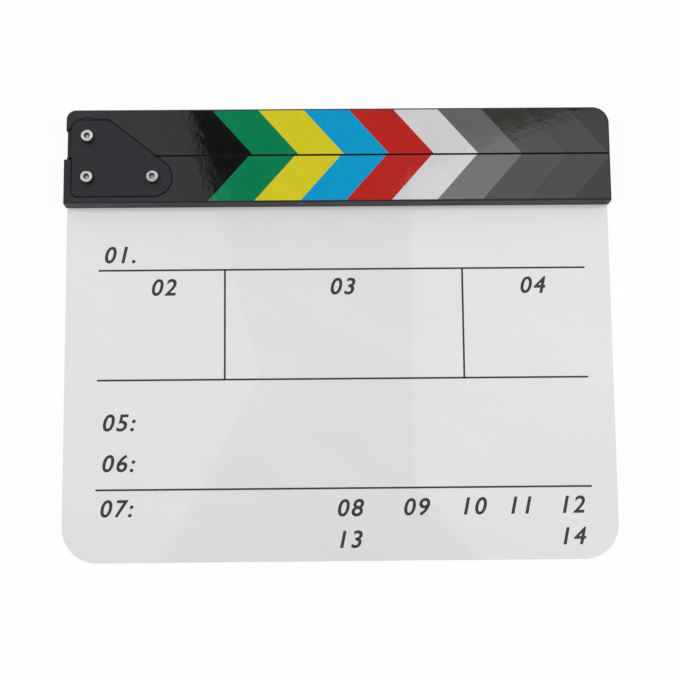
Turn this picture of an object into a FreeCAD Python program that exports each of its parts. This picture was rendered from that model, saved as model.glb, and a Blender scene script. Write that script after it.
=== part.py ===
"""Clapperboard: a white slate board carried by two hinged clap sticks, lying on its back.

Frame, in millimetres: +X runs right along the sticks, +Y from the board up to the sticks and +Z out of the
front face. The back lies on Z = 0, and X = Y = 0 is the middle of the closed outline.
"""
import FreeCAD, Part
import math
import os

import Sketcher

SIZES = (
    # Sticks
    ("overall_height", 247.0, "bottom of the board to the top of the closed upper stick"),
    ("stick_length", 300.0, "length of the lower stick"),
    ("stick_height", 26.2, "height of each stick"),
    ("stick_depth", 14.0, "back to front of both sticks"),
    ("seam_gap", 0.3, "between the closed sticks"),
    ("upper_inset", 1.1, "left end of the upper stick behind that of the lower one"),
    ("tongue_inset", 1.7, "left end of the upper stick's tongue behind that of the lower stick"),
    ("corner_left", 5.2, "top left corner of the upper stick"),
    ("corner_right", 9.0, "top right corner of the upper stick"),
    ("edge_round", 0.8, "outer edges of the sticks"),
    ("seam_round", 0.25, "edges of the seam"),
    ("rim_drop", 1.5, "cut under the seam at the lower stick's left end"),
    # Slate board
    ("board_inset", 0.5, "each side of the board behind the end of the lower stick"),
    ("board_depth", 3.0, "thickness of the board"),
    ("board_corner", 19.0, "lower corners of the board"),
    ("board_edge", 0.25, "broken edges of the board"),
    ("rabbet_height", 21.5, "rebate in the back of the lower stick that takes the board"),
    ("board_clear", 0.3, "above the board in the rebate"),
    # Hinge plate and the cheek behind it
    ("rim_left", 4.35, "left end of the lower stick to the plate"),
    ("rim_top", 5.9, "top of the upper stick to the plate"),
    ("rim_low", 3.8, "bottom of the lower stick to the plate"),
    ("pivot_side", 8.65, "left edge of the plate to the pivot"),
    ("pivot_top", 9.6, "top edge of the plate to the pivot"),
    ("fixing_pitch", 35.7, "between the two fixing screws"),
    ("plate_round", 10.4, "round end of the plate about the right fixing screw"),
    ("plate_level", 20.2, "left edge of the plate to the start of its slanted edge"),
    ("plate_corner", 8.6, "upper left corner of the plate, behind its lip"),
    ("plate_corner_low", 3.2, "lower left corner of the plate"),
    ("lip_corner", 4.6, "upper left corner of the plate's lip"),
    ("lip_depth", 0.5, "thickness of the lip on the front of the plate"),
    ("lip_clear", 0.2, "lip to the upper stick behind and round it"),
    ("plate_depth", 1.6, "thickness of the plate"),
    ("plate_edge", 0.3, "broken front edge of the plate"),
    ("plate_gap", 0.5, "groove round the plate"),
    ("cheek_depth", 4.5, "thickness of the rear cheek"),
    ("ear_rise", 1.8, "ear of the cheek above the seam, left of the plate"),
    # Swing
    ("swing_limit", 60.0, "how far the upper stick opens, degrees"),
    ("stop_margin", 4.0, "past the limit before the stick's rim meets the plate, degrees"),
    ("stop_clear", 0.3, "rim to plate at the stop"),
    ("swing_clear", 0.3, "round corners that swing past each other"),
    ("end_play", 0.05, "each friction washer to the upper stick"),
    ("washer_depth", 0.4, "thickness of a friction washer"),
    ("washer_outer", 14.0, "diameter of a friction washer"),
    ("bush_outer", 7.0, "diameter of the pivot bush"),
    ("running_fit", 0.05, "bush to pivot screw, radial"),
    ("close_fit", 0.05, "inserts, bush and magnets in their holes, radial"),
    # Socket head screws and their threaded inserts
    ("screw_shank", 4.0, "diameter of a socket screw's shank"),
    ("screw_head", 6.3, "diameter of a socket screw's head"),
    ("head_height", 4.0, "height of a socket screw's head"),
    ("head_edge", 0.4, "broken edges of a socket screw"),
    ("socket_width", 3.0, "across the flats of the hexagon socket"),
    ("socket_depth", 2.0, "depth of the hexagon socket"),
    ("hole_clear", 0.1, "screw shank to a plain hole, radial"),
    ("fixing_tip", 0.5, "tip of a fixing screw short of the far end of its insert"),
    ("pivot_tip", 2.0, "tip of the pivot screw in front of the back face"),
    ("insert_outer", 5.6, "diameter of a threaded insert"),
    ("insert_length", 5.0, "length of a fixing insert"),
    # Countersunk screws through the board
    ("board_screw_shank", 3.0, "diameter of a board screw's shank"),
    ("board_screw_head", 5.6, "diameter of a board screw's head"),
    ("board_screw_length", 8.0, "length of a board screw"),
    ("board_screw_tip", 1.5, "pointed end of a board screw"),
    ("board_screw_inset", 30.0, "each end of the lower stick to the nearest board screw"),
    ("board_screw_row", 8.5, "bottom of the lower stick up to the board screws"),
    ("cross_length", 2.8, "cross recess, tip to tip"),
    ("cross_width", 0.7, "cross recess, width of an arm"),
    ("cross_depth", 1.1, "depth of the cross recess"),
    # Magnets in the seam
    ("magnet_outer", 8.0, "diameter of a magnet"),
    ("magnet_depth", 3.0, "thickness of a magnet"),
    ("magnet_inset", 12.0, "right end of the sticks to the magnets"),
    # Printed films on the fronts of the sticks
    ("film_depth", 0.15, "thickness of a film"),
    ("film_margin", 0.95, "film to the outer edges of a stick"),
    ("film_seam", 0.4, "film to the seam"),
    ("film_start", 4.0, "left end of the lower stick to the films"),
    ("film_groove", 0.5, "film to the groove round the plate"),
)
BOARD_SCREWS = 4

# Places that follow from the sizes, as expressions on the sheet.
RIGHT = "Sizes.stick_length / 2"
LEFT = "-Sizes.stick_length / 2"
UPPER_LEFT = f"({LEFT} + Sizes.upper_inset)"
TONGUE_LEFT = f"({LEFT} + Sizes.tongue_inset)"
UPPER_TOP = "Sizes.overall_height / 2"
UPPER_LOW = f"({UPPER_TOP} - Sizes.stick_height)"
LOWER_TOP = f"({UPPER_LOW} - Sizes.seam_gap)"
LOWER_LOW = f"({LOWER_TOP} - Sizes.stick_height)"
BOARD_LEFT = f"({LEFT} + Sizes.board_inset)"
BOARD_RIGHT = f"({RIGHT} - Sizes.board_inset)"
BOARD_LOW = "-Sizes.overall_height / 2"
RABBET_TOP = f"({LOWER_LOW} + Sizes.rabbet_height)"
PLATE_LEFT = f"({LEFT} + Sizes.rim_left)"
PLATE_TOP = f"({UPPER_TOP} - Sizes.rim_top)"
SHOULDER_X = f"({PLATE_LEFT} + Sizes.plate_level)"
PIVOT_X = f"({PLATE_LEFT} + Sizes.pivot_side)"
PIVOT_Y = f"({PLATE_TOP} - Sizes.pivot_top)"
FIXING_Y = f"({LOWER_LOW} + Sizes.rim_low + Sizes.plate_round)"
FIXING_RIGHT_X = f"({PIVOT_X} + Sizes.fixing_pitch)"
# The slanted edge of the plate touches the round end, so its slope follows from where it starts.
SLANT_RUN = f"({FIXING_RIGHT_X} - {SHOULDER_X})"
SLANT_FALL = f"({PLATE_TOP} - {FIXING_Y})"
PLATE_SLOPE = (f"(atan({SLANT_FALL} / {SLANT_RUN})"
               f" - asin(Sizes.plate_round / hypot({SLANT_RUN}; {SLANT_FALL})))")
BOARD_SCREW_Y = f"({LOWER_LOW} + Sizes.board_screw_row)"
MAGNET_X = f"({RIGHT} - Sizes.magnet_inset)"
PLATE_BACK = "(Sizes.stick_depth - Sizes.plate_depth)"
TONGUE_BACK = "(Sizes.cheek_depth + Sizes.washer_depth + Sizes.end_play)"
TONGUE_RECESS = "(Sizes.plate_depth + Sizes.washer_depth + Sizes.end_play)"
TONGUE_DEPTH = f"(Sizes.stick_depth - {TONGUE_BACK} - {TONGUE_RECESS})"
PIVOT_LENGTH = "(Sizes.stick_depth - Sizes.pivot_tip)"
FIXING_LENGTH = "(Sizes.plate_depth + Sizes.insert_length - Sizes.fixing_tip)"
SHANK_BORE = "(Sizes.screw_shank / 2 + Sizes.running_fit)"
# Reach of the plate's top left corner from the pivot, of its lip there, and of the tongue's lower left corner.
PLATE_REACH = ("(hypot(Sizes.pivot_side - Sizes.plate_corner; Sizes.pivot_top - Sizes.plate_corner)"
               " + Sizes.plate_corner)")
LIP_REACH = ("(hypot(Sizes.pivot_side - Sizes.lip_corner; Sizes.pivot_top - Sizes.lip_corner)"
             " + Sizes.lip_corner)")
STICK_REACH = f"hypot({PIVOT_X} - {TONGUE_LEFT}; {PIVOT_Y} - {UPPER_LOW})"
PLATE_SWING = f"({PLATE_REACH} + Sizes.swing_clear)"
LIP_SWING = f"({LIP_REACH} + Sizes.lip_clear)"
LIP_RECESS = "(Sizes.lip_depth + Sizes.lip_clear)"
STICK_SWING = f"({STICK_REACH} + Sizes.swing_clear)"
STOP_ANGLE = "(Sizes.swing_limit + Sizes.stop_margin)"

SPARE = 2.0          # how far a cutting outline runs past the solid that it cuts
TOLERANCE = 1e-4     # for telling edges apart by where they lie

doc = FreeCAD.newDocument("Clapperboard")
sheet = doc.addObject("Spreadsheet::Sheet", "Sizes")
for row, (alias, size, meaning) in enumerate(SIZES, 1):
    sheet.set(f"A{row}", meaning)
    sheet.set(f"B{row}", str(size))
    sheet.setAlias(f"B{row}", alias)
doc.recompute()
pieces = []


def value(expression):
    """The number that an expression on the sheet stands for."""
    return float(sheet.evalExpression(expression))


def point(x, y):
    """A sketch point from two expressions."""
    return FreeCAD.Vector(value(x), value(y), 0)


def new_piece(label, x="0", y="0", z="0"):
    """An empty body that becomes one piece, its own origin at the given place."""
    body = doc.addObject("PartDesign::Body", label)
    body.Label = label
    for axis, place in zip("xyz", (x, y, z)):
        body.setExpression(f"Placement.Base.{axis}", place)
    pieces.append(body)
    return body


def new_sketch(body, name, height="0", plane="XY_Plane"):
    """An empty sketch on one of the body's own planes, raised along the plane's normal."""
    sketch = body.newObject("Sketcher::SketchObject", name)
    support = next(item for item in body.Origin.OriginFeatures if item.Role == plane)
    sketch.AttachmentSupport = (support, [""])
    sketch.MapMode = "FlatFace"
    sketch.setExpression("AttachmentOffset.Base.z", height)
    return sketch


def drive(sketch, constraint, name, expression):
    """Add a dimension to a sketch and bind it to the sheet."""
    index = sketch.addConstraint(constraint)
    sketch.renameConstraint(index, name)
    sketch.setExpression(f"Constraints.{name}", expression)


def pin(sketch, geometry, vertex, name, x, y):
    """Fix a vertex of a sketch at a place given by two expressions."""
    drive(sketch, Sketcher.Constraint("DistanceX", -1, 1, geometry, vertex, value(x)), f"{name}_across", x)
    drive(sketch, Sketcher.Constraint("DistanceY", -1, 1, geometry, vertex, value(y)), f"{name}_up", y)


def polygon(body, name, corners, height="0", plane="XY_Plane"):
    """A sketch of a closed outline of straight lines through the given corners."""
    sketch = new_sketch(body, name, height, plane)
    points = [point(x, y) for x, y in corners]
    count = len(points)
    for index, start in enumerate(points):
        sketch.addGeometry(Part.LineSegment(start, points[(index + 1) % count]), False)
    for index in range(count):
        sketch.addConstraint(Sketcher.Constraint("Coincident", index, 2, (index + 1) % count, 1))
    for index, (x, y) in enumerate(corners):
        pin(sketch, index, 1, f"corner{index}", x, y)
    return sketch


def rectangle(body, name, left, right, low, top, height="0"):
    """A sketch of a rectangle between four expressions."""
    return polygon(body, name, ((left, low), (right, low), (right, top), (left, top)), height)


def circles(body, name, x, y, radii, height="0", plane="XY_Plane"):
    """A sketch of circles about one centre."""
    sketch = new_sketch(body, name, height, plane)
    for index, radius in enumerate(radii):
        sketch.addGeometry(Part.Circle(point(x, y), FreeCAD.Vector(0, 0, 1), value(radius)), False)
        pin(sketch, index, 3, f"centre{index}", x, y)
        drive(sketch, Sketcher.Constraint("Radius", index, value(radius)), f"radius{index}", radius)
    return sketch


def plate_outline(body, name, grow="0", height="0", corner="Sizes.plate_corner"):
    """A sketch of the hinge plate's outline, moved outwards all round by the given amount.

    The left and top edges are straight with two round corners on the left, the right end is round about
    the right fixing screw, and a slanted edge runs from the top down to that round end. The upper left
    corner is given, because the plate's lip has a smaller one.
    """
    sketch = new_sketch(body, name, height)
    left_x = f"{PLATE_LEFT} - ({grow})"
    top_y = f"{PLATE_TOP} + ({grow})"
    end_radius = f"Sizes.plate_round + ({grow})"
    upper_radius = f"{corner} + ({grow})"
    lower_radius = f"Sizes.plate_corner_low + ({grow})"
    side, top, big = value(left_x), value(top_y), value(end_radius)
    round_up, round_low = value(upper_radius), value(lower_radius)
    centre = point(FIXING_RIGHT_X, FIXING_Y)
    low = centre.y - big
    slope = math.radians(value(PLATE_SLOPE))
    touch = centre + FreeCAD.Vector(math.sin(slope), math.cos(slope), 0) * big
    shoulder = FreeCAD.Vector(touch.x - (top - touch.y) / math.tan(slope), top, 0)

    def arc(middle, radius, start, end):
        circle = Part.Circle(middle, FreeCAD.Vector(0, 0, 1), radius)
        return Part.ArcOfCircle(circle, math.radians(start), math.radians(end))

    def line(start, end):
        return Part.LineSegment(start, end)

    upper_corner = FreeCAD.Vector(side + round_up, top - round_up, 0)
    lower_corner = FreeCAD.Vector(side + round_low, low + round_low, 0)
    left_foot, left_head = FreeCAD.Vector(side, lower_corner.y), FreeCAD.Vector(side, upper_corner.y)
    left = sketch.addGeometry(line(left_foot, left_head), False)
    level = sketch.addGeometry(line(FreeCAD.Vector(upper_corner.x, top), shoulder), False)
    slant = sketch.addGeometry(line(touch, shoulder), False)
    base = sketch.addGeometry(line(FreeCAD.Vector(lower_corner.x, low), FreeCAD.Vector(centre.x, low)), False)
    upper = sketch.addGeometry(arc(upper_corner, round_up, 90, 180), False)
    lower = sketch.addGeometry(arc(lower_corner, round_low, 180, 270), False)
    end = sketch.addGeometry(arc(centre, big, -90, 90 - math.degrees(slope)), False)
    for first, first_end, second, second_end in ((left, 1, lower, 1), (left, 2, upper, 2), (level, 1, upper, 1),
                                                 (slant, 1, end, 2), (base, 2, end, 1), (base, 1, lower, 2)):
        sketch.addConstraint(Sketcher.Constraint("Tangent", first, first_end, second, second_end))
    sketch.addConstraint(Sketcher.Constraint("Coincident", level, 2, slant, 2))
    sketch.addConstraint(Sketcher.Constraint("Vertical", left))
    sketch.addConstraint(Sketcher.Constraint("Horizontal", level))
    sketch.addConstraint(Sketcher.Constraint("Horizontal", base))
    drive(sketch, Sketcher.Constraint("Angle", slant, math.pi - slope), "slope", f"180 deg - {PLATE_SLOPE}")
    pin(sketch, end, 3, "end", FIXING_RIGHT_X, FIXING_Y)
    drive(sketch, Sketcher.Constraint("Radius", end, big), "end_radius", end_radius)
    drive(sketch, Sketcher.Constraint("Radius", upper, round_up), "upper_radius", upper_radius)
    drive(sketch, Sketcher.Constraint("Radius", lower, round_low), "lower_radius", lower_radius)
    drive(sketch, Sketcher.Constraint("DistanceX", -1, 1, left, 1, side), "left", left_x)
    drive(sketch, Sketcher.Constraint("DistanceY", -1, 1, level, 1, top), "top", top_y)
    return sketch


def pad(body, sketch, length, backward=False):
    """Raise a sketch into a solid, along the sketch's normal or against it."""
    feature = body.newObject("PartDesign::Pad", f"{sketch.Name}_pad")
    feature.Profile = sketch
    feature.Reversed = backward
    feature.setExpression("Length", length)
    doc.recompute()
    return feature


def pocket(body, sketch, depth, forward=False):
    """Cut a sketch into the body, against the sketch's normal or along it, and see that it cuts."""
    before = body.Shape.Volume
    feature = body.newObject("PartDesign::Pocket", f"{sketch.Name}_cut")
    feature.Profile = sketch
    feature.Reversed = forward
    feature.setExpression("Length", depth)
    doc.recompute()
    if not feature.Shape.Volume < before:
        raise RuntimeError(f"{feature.Name} cuts nothing")
    return feature


def spin(body, sketch):
    """Turn a half outline once round the sketch's upright axis."""
    feature = body.newObject("PartDesign::Revolution", f"{sketch.Name}_spin")
    feature.Profile = sketch
    feature.ReferenceAxis = (sketch, ["V_Axis"])
    feature.Angle = 360.0
    doc.recompute()
    return feature


def dress(body, kind, size, amount, chosen):
    """Round or bevel the edges of the body that a test chooses, by a size bound to the sheet."""
    base = body.Tip
    names = [f"Edge{index}" for index, edge in enumerate(base.Shape.Edges, 1) if chosen(edge)]
    feature = body.newObject(f"PartDesign::{kind}", f"{base.Name}_{kind.lower()}")
    feature.Base = (base, names)
    feature.setExpression(size, amount)
    doc.recompute()
    return feature


def at_height(edge, height):
    """Whether an edge lies level at a height."""
    box = edge.BoundBox
    return box.ZLength < TOLERANCE and abs(box.ZMin - height) < TOLERANCE


def at_seam(edge, seam):
    """Whether an edge lies along the seam, at its place on Y."""
    box = edge.BoundBox
    return box.YLength < TOLERANCE and abs(box.YMin - seam) < TOLERANCE


def upright_at(edge, x, y):
    """Whether an edge stands upright at a place."""
    box = edge.BoundBox
    upright = box.XLength < TOLERANCE and box.YLength < TOLERANCE
    return upright and abs(box.XMin - x) < TOLERANCE and abs(box.YMin - y) < TOLERANCE


def soften_stick(body, seam):
    """Round a stick's outer edges front and back, and break the edges of its seam."""
    levels = (0.0, value("Sizes.stick_depth"))
    dress(body, "Fillet", "Radius", "Sizes.edge_round",
          lambda edge: any(at_height(edge, level) for level in levels) and not at_seam(edge, seam))
    dress(body, "Fillet", "Radius", "Sizes.seam_round",
          lambda edge: any(at_height(edge, level) for level in levels) and at_seam(edge, seam))


def magnet_pocket(body, seam, downward):
    """Cut the round seat of a magnet into a stick's seam face."""
    sketch = circles(body, f"{body.Name}_magnet_seat", MAGNET_X, "Sizes.stick_depth / 2",
                     ("Sizes.magnet_outer / 2 + Sizes.close_fit",), f"-{seam}", "XZ_Plane")
    pocket(body, sketch, "Sizes.magnet_depth + Sizes.close_fit", forward=downward)


def board_screw_x(index):
    """Expression for the place of one board screw along the row."""
    span = "(Sizes.stick_length - 2 * Sizes.board_screw_inset)"
    return f"{LEFT} + Sizes.board_screw_inset + {span} * {index} / {BOARD_SCREWS - 1}"


def make_slate_board():
    """Acrylic board: its top lies in the rebate of the lower stick, its lower corners are round."""
    body = new_piece("slate_board")
    outline = rectangle(body, "board_outline", BOARD_LEFT, BOARD_RIGHT, BOARD_LOW,
                        f"{RABBET_TOP} - Sizes.board_clear")
    pad(body, outline, "Sizes.board_depth")
    low, depth = value(BOARD_LOW), value("Sizes.board_depth")
    dress(body, "Fillet", "Radius", "Sizes.board_corner",
          lambda edge: upright_at(edge, value(BOARD_LEFT), low) or upright_at(edge, value(BOARD_RIGHT), low))
    dress(body, "Fillet", "Radius", "Sizes.board_edge",
          lambda edge: at_height(edge, 0.0) or at_height(edge, depth))
    bore = "Sizes.board_screw_shank / 2 + Sizes.hole_clear"
    for index in range(BOARD_SCREWS):
        hole = circles(body, f"board_hole_{index + 1}", board_screw_x(index), BOARD_SCREW_Y, (bore,))
        pocket(body, hole, "Sizes.board_depth", forward=True)
    radius = value(bore)
    dress(body, "Chamfer", "Size", f"Sizes.board_screw_head / 2 + Sizes.close_fit - ({bore})",
          lambda edge: at_height(edge, 0.0) and abs(edge.BoundBox.XLength - 2 * radius) < TOLERANCE)


def make_board_screw(index):
    """Countersunk screw driven from the back through the board into the lower stick."""
    label = f"board_screw_{index + 1}"
    body = new_piece(label, board_screw_x(index), BOARD_SCREW_Y)
    head, shank = "Sizes.board_screw_head / 2", "Sizes.board_screw_shank / 2"
    length, tip = "Sizes.board_screw_length", "Sizes.board_screw_tip"
    spin(body, polygon(body, f"{label}_half", (("0", "0"), (head, "0"), (shank, f"{head} - {shank}"),
                                               (shank, f"{length} - {tip}"), ("0", length)), plane="XZ_Plane"))
    reach, arm = "Sizes.cross_length / 2", "Sizes.cross_width / 2"
    for name, across, up in (("level", reach, arm), ("upright", arm, reach)):
        slot = rectangle(body, f"{label}_{name}", f"-{across}", across, f"-{up}", up)
        pocket(body, slot, "Sizes.cross_depth", forward=True)


def make_lower_stick():
    """Fixed stick: takes the board behind, the hinge plate in front, and carries the rear cheek."""
    body = new_piece("lower_stick")
    pad(body, rectangle(body, "lower_outline", LEFT, RIGHT, LOWER_LOW, LOWER_TOP), "Sizes.stick_depth")
    soften_stick(body, value(LOWER_TOP))
    pad(body, plate_outline(body, "cheek"), "Sizes.cheek_depth")
    ear = rectangle(body, "cheek_ear", TONGUE_LEFT, f"{PLATE_LEFT} + {SPARE}", f"{LOWER_TOP} - {SPARE}",
                    f"{LOWER_TOP} + Sizes.ear_rise")
    pad(body, ear, "Sizes.cheek_depth")
    front = "Sizes.stick_depth"
    pocket(body, plate_outline(body, "lower_plate_seat", "Sizes.plate_gap", front), "Sizes.plate_depth")
    relief = circles(body, "swing_relief", PIVOT_X, PIVOT_Y, (STICK_SWING,), front)
    pocket(body, relief, "Sizes.stick_depth - Sizes.cheek_depth")
    corner = rectangle(body, "corner_relief", f"{LEFT} - {SPARE}", TONGUE_LEFT, f"{LOWER_TOP} - Sizes.rim_drop",
                       f"{LOWER_TOP} + {SPARE}", front)
    pocket(body, corner, "Sizes.stick_depth")
    rabbet = rectangle(body, "rabbet", f"{LEFT} - {SPARE}", f"{RIGHT} + {SPARE}", f"{LOWER_LOW} - {SPARE}",
                       RABBET_TOP)
    pocket(body, rabbet, "Sizes.board_depth", forward=True)
    for name, x in (("left", PIVOT_X), ("right", FIXING_RIGHT_X)):
        hole = circles(body, f"insert_hole_{name}", x, FIXING_Y, ("Sizes.insert_outer / 2 + Sizes.close_fit",),
                       PLATE_BACK)
        pocket(body, hole, "Sizes.insert_length + Sizes.close_fit")
    pivot_hole = circles(body, "pivot_insert_hole", PIVOT_X, PIVOT_Y,
                         ("Sizes.insert_outer / 2 + Sizes.close_fit",), "Sizes.cheek_depth")
    pocket(body, pivot_hole, "Sizes.cheek_depth")
    for index in range(BOARD_SCREWS):
        pilot = circles(body, f"pilot_{index + 1}", board_screw_x(index), BOARD_SCREW_Y,
                        ("Sizes.board_screw_shank / 2 + Sizes.close_fit",), "Sizes.board_depth")
        pocket(body, pilot, "Sizes.board_screw_length - Sizes.board_depth + Sizes.close_fit", forward=True)
    magnet_pocket(body, LOWER_TOP, downward=True)


def make_upper_stick():
    """Clap stick: thinned to a tongue at the left end, where it turns between the plate and the cheek."""
    body = new_piece("upper_stick")
    pad(body, rectangle(body, "upper_outline", UPPER_LEFT, RIGHT, UPPER_LOW, UPPER_TOP), "Sizes.stick_depth")
    for x, radius in ((UPPER_LEFT, "Sizes.corner_left"), (RIGHT, "Sizes.corner_right")):
        dress(body, "Fillet", "Radius", radius, lambda edge: upright_at(edge, value(x), value(UPPER_TOP)))
    soften_stick(body, value(UPPER_LOW))
    # The rim beside the plate ends on a line that the plate's left edge reaches at the stop.
    stop_reach = "(Sizes.pivot_side + Sizes.stop_clear)"
    stop_x = f"({PIVOT_X} - {stop_reach} * cos({STOP_ANGLE}))"
    stop_y = f"({PIVOT_Y} + {stop_reach} * sin({STOP_ANGLE}))"
    outer_x = f"({LEFT} - {SPARE})"
    outer_y = f"({stop_y} + ({outer_x} - {stop_x}) / tan({STOP_ANGLE}))"
    under = f"({UPPER_LOW} - {SPARE})"
    for side, height, depth, forward in (("front", "Sizes.stick_depth", TONGUE_RECESS, False),
                                         ("rear", "0", TONGUE_BACK, True)):
        pocket(body, plate_outline(body, f"{side}_seat", "Sizes.plate_gap", height), depth, forward)
        pocket(body, circles(body, f"{side}_swing", PIVOT_X, PIVOT_Y, (PLATE_SWING,), height), depth, forward)
        rim_end = polygon(body, f"{side}_rim_end", ((stop_x, stop_y), (outer_x, outer_y), (outer_x, under),
                                                    (PIVOT_X, under)), height)
        pocket(body, rim_end, depth, forward)
    front = "Sizes.stick_depth"
    pocket(body, plate_outline(body, "lip_seat", "Sizes.plate_gap", front, "Sizes.lip_corner"), LIP_RECESS)
    pocket(body, circles(body, "lip_swing", PIVOT_X, PIVOT_Y, (LIP_SWING,), front), LIP_RECESS)
    tongue_y = f"({stop_y} + ({TONGUE_LEFT} - {stop_x}) / tan({STOP_ANGLE}))"
    tongue_end = polygon(body, "tongue_end", ((TONGUE_LEFT, tongue_y), (outer_x, outer_y), (outer_x, under),
                                              (TONGUE_LEFT, under)), front)
    pocket(body, tongue_end, "Sizes.stick_depth")
    bore = circles(body, "bush_bore", PIVOT_X, PIVOT_Y, ("Sizes.bush_outer / 2 + Sizes.close_fit",))
    pocket(body, bore, "Sizes.stick_depth", forward=True)
    magnet_pocket(body, UPPER_LOW, downward=False)


def make_film(label, low, top, corner):
    """Printed film on a stick's front, cut out round the hinge plate."""
    body = new_piece(label)
    right = f"{RIGHT} - Sizes.film_margin"
    front = "Sizes.stick_depth"
    pad(body, rectangle(body, f"{label}_outline", f"{LEFT} + Sizes.film_start", right, low, top, front),
        "Sizes.film_depth")
    if corner:
        dress(body, "Fillet", "Radius", corner, lambda edge: upright_at(edge, value(right), value(top)))
    surface = f"{front} + Sizes.film_depth"
    cut = plate_outline(body, f"{label}_cut", "Sizes.plate_gap + Sizes.film_groove", surface,
                        "Sizes.lip_corner")
    pocket(body, cut, "Sizes.film_depth")
    if corner:
        swing = circles(body, f"{label}_swing", PIVOT_X, PIVOT_Y, (LIP_SWING,), surface)
        pocket(body, swing, "Sizes.film_depth")


def make_hinge_plate():
    """Plate let into both sticks, screwed to the lower one, with the pivot at its upper left.

    A thin lip on its front fills the square corner, and only a shallow recess has to clear it.
    """
    body = new_piece("hinge_plate")
    pad(body, plate_outline(body, "plate", height=PLATE_BACK), "Sizes.plate_depth - Sizes.lip_depth")
    lip = plate_outline(body, "plate_lip", height="Sizes.stick_depth", corner="Sizes.lip_corner")
    pad(body, lip, "Sizes.lip_depth", backward=True)
    front = value("Sizes.stick_depth")
    dress(body, "Fillet", "Radius", "Sizes.plate_edge", lambda edge: at_height(edge, front))
    for name, x, y in (("pivot", PIVOT_X, PIVOT_Y), ("left", PIVOT_X, FIXING_Y),
                       ("right", FIXING_RIGHT_X, FIXING_Y)):
        hole = circles(body, f"plate_hole_{name}", x, y, ("Sizes.screw_shank / 2 + Sizes.hole_clear",),
                       "Sizes.stick_depth")
        pocket(body, hole, "Sizes.plate_depth")


def make_socket_screw(label, x, y, length):
    """Socket head cap screw with its head on the plate and its shank pointing back."""
    body = new_piece(label, x, y, "Sizes.stick_depth")
    head, shank = "Sizes.screw_head / 2", "Sizes.screw_shank / 2"
    edge, height = "Sizes.head_edge", "Sizes.head_height"
    spin(body, polygon(body, f"{label}_half", (
        ("0", f"-{length}"), (f"{shank} - {edge}", f"-{length}"), (shank, f"{edge} - {length}"), (shank, "0"),
        (head, "0"), (head, f"{height} - {edge}"), (f"{head} - {edge}", height), ("0", height)),
        plane="XZ_Plane"))
    corner = "Sizes.socket_width / sqrt(3)"
    hexagon = [(f"{corner} * cos({turn})", f"{corner} * sin({turn})") for turn in range(0, 360, 60)]
    pocket(body, polygon(body, f"{label}_socket", hexagon, height), "Sizes.socket_depth")


def make_ring(label, x, y, z, outer, inner, depth):
    """Plain ring: a washer, a bush or a threaded insert, the thread left out."""
    body = new_piece(label, x, y, z)
    pad(body, circles(body, f"{label}_section", "0", "0", (outer, inner)), depth)


def make_magnet(label, seam, downward):
    """Disc magnet seated flush in a stick's seam face."""
    body = new_piece(label)
    sketch = circles(body, f"{label}_disc", MAGNET_X, "Sizes.stick_depth / 2", ("Sizes.magnet_outer / 2",),
                     f"-{seam}", "XZ_Plane")
    pad(body, sketch, "Sizes.magnet_depth", backward=not downward)


def check_model():
    """Stop if any object of the document failed or any piece isn't one valid solid."""
    for item in doc.Objects:
        if "Invalid" in item.State or "Error" in item.State:
            raise RuntimeError(f"{item.Name}: {item.State}")
    for piece in pieces:
        shape = piece.Shape
        if shape.isNull() or not shape.isValid() or len(shape.Solids) != 1:
            raise RuntimeError(f"{piece.Label} isn't one valid solid")


def export_pieces():
    """Write each piece to its own STEP file."""
    os.makedirs("parts", exist_ok=True)
    for piece in pieces:
        piece.Shape.exportStep(f"parts/{piece.Label}.step")
        box = piece.Shape.optimalBoundingBox()
        print(f"{piece.Label}: {piece.Shape.Volume:.1f} mm3,"
              f" {box.XLength:.2f} x {box.YLength:.2f} x {box.ZLength:.2f} mm")


make_slate_board()
for screw in range(BOARD_SCREWS):
    make_board_screw(screw)
make_lower_stick()
make_film("lower_film", f"{LOWER_LOW} + Sizes.film_margin", f"{LOWER_TOP} - Sizes.film_seam", None)
make_hinge_plate()
make_socket_screw("fixing_screw_left", PIVOT_X, FIXING_Y, FIXING_LENGTH)
make_socket_screw("fixing_screw_right", FIXING_RIGHT_X, FIXING_Y, FIXING_LENGTH)
make_socket_screw("pivot_screw", PIVOT_X, PIVOT_Y, PIVOT_LENGTH)
for name, place in (("left", PIVOT_X), ("right", FIXING_RIGHT_X)):
    make_ring(f"fixing_insert_{name}", place, FIXING_Y, f"{PLATE_BACK} - Sizes.insert_length",
              "Sizes.insert_outer / 2", SHANK_BORE, "Sizes.insert_length")
make_ring("pivot_insert", PIVOT_X, PIVOT_Y, "0", "Sizes.insert_outer / 2", SHANK_BORE, "Sizes.cheek_depth")
make_ring("friction_washer_rear", PIVOT_X, PIVOT_Y, "Sizes.cheek_depth", "Sizes.washer_outer / 2", SHANK_BORE,
          "Sizes.washer_depth")
make_ring("friction_washer_front", PIVOT_X, PIVOT_Y, f"{PLATE_BACK} - Sizes.washer_depth",
          "Sizes.washer_outer / 2", SHANK_BORE, "Sizes.washer_depth")
make_magnet("lower_magnet", LOWER_TOP, downward=True)
make_upper_stick()
make_film("upper_film", f"{UPPER_LOW} + Sizes.film_seam", f"{UPPER_TOP} - Sizes.film_margin",
          "Sizes.corner_right - Sizes.film_margin")
make_ring("pivot_bush", PIVOT_X, PIVOT_Y, TONGUE_BACK, "Sizes.bush_outer / 2", SHANK_BORE, TONGUE_DEPTH)
make_magnet("upper_magnet", UPPER_LOW, downward=False)
doc.recompute()
check_model()
export_pieces()
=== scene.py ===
"""Looks of the clapperboard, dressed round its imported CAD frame.

Lengths are in metres in the frame of the CAD part: +X runs right along the sticks, +Y from the slate board
up to the sticks and +Z out of the front face. The back lies on Z = 0.
"""
from __future__ import annotations

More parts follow.
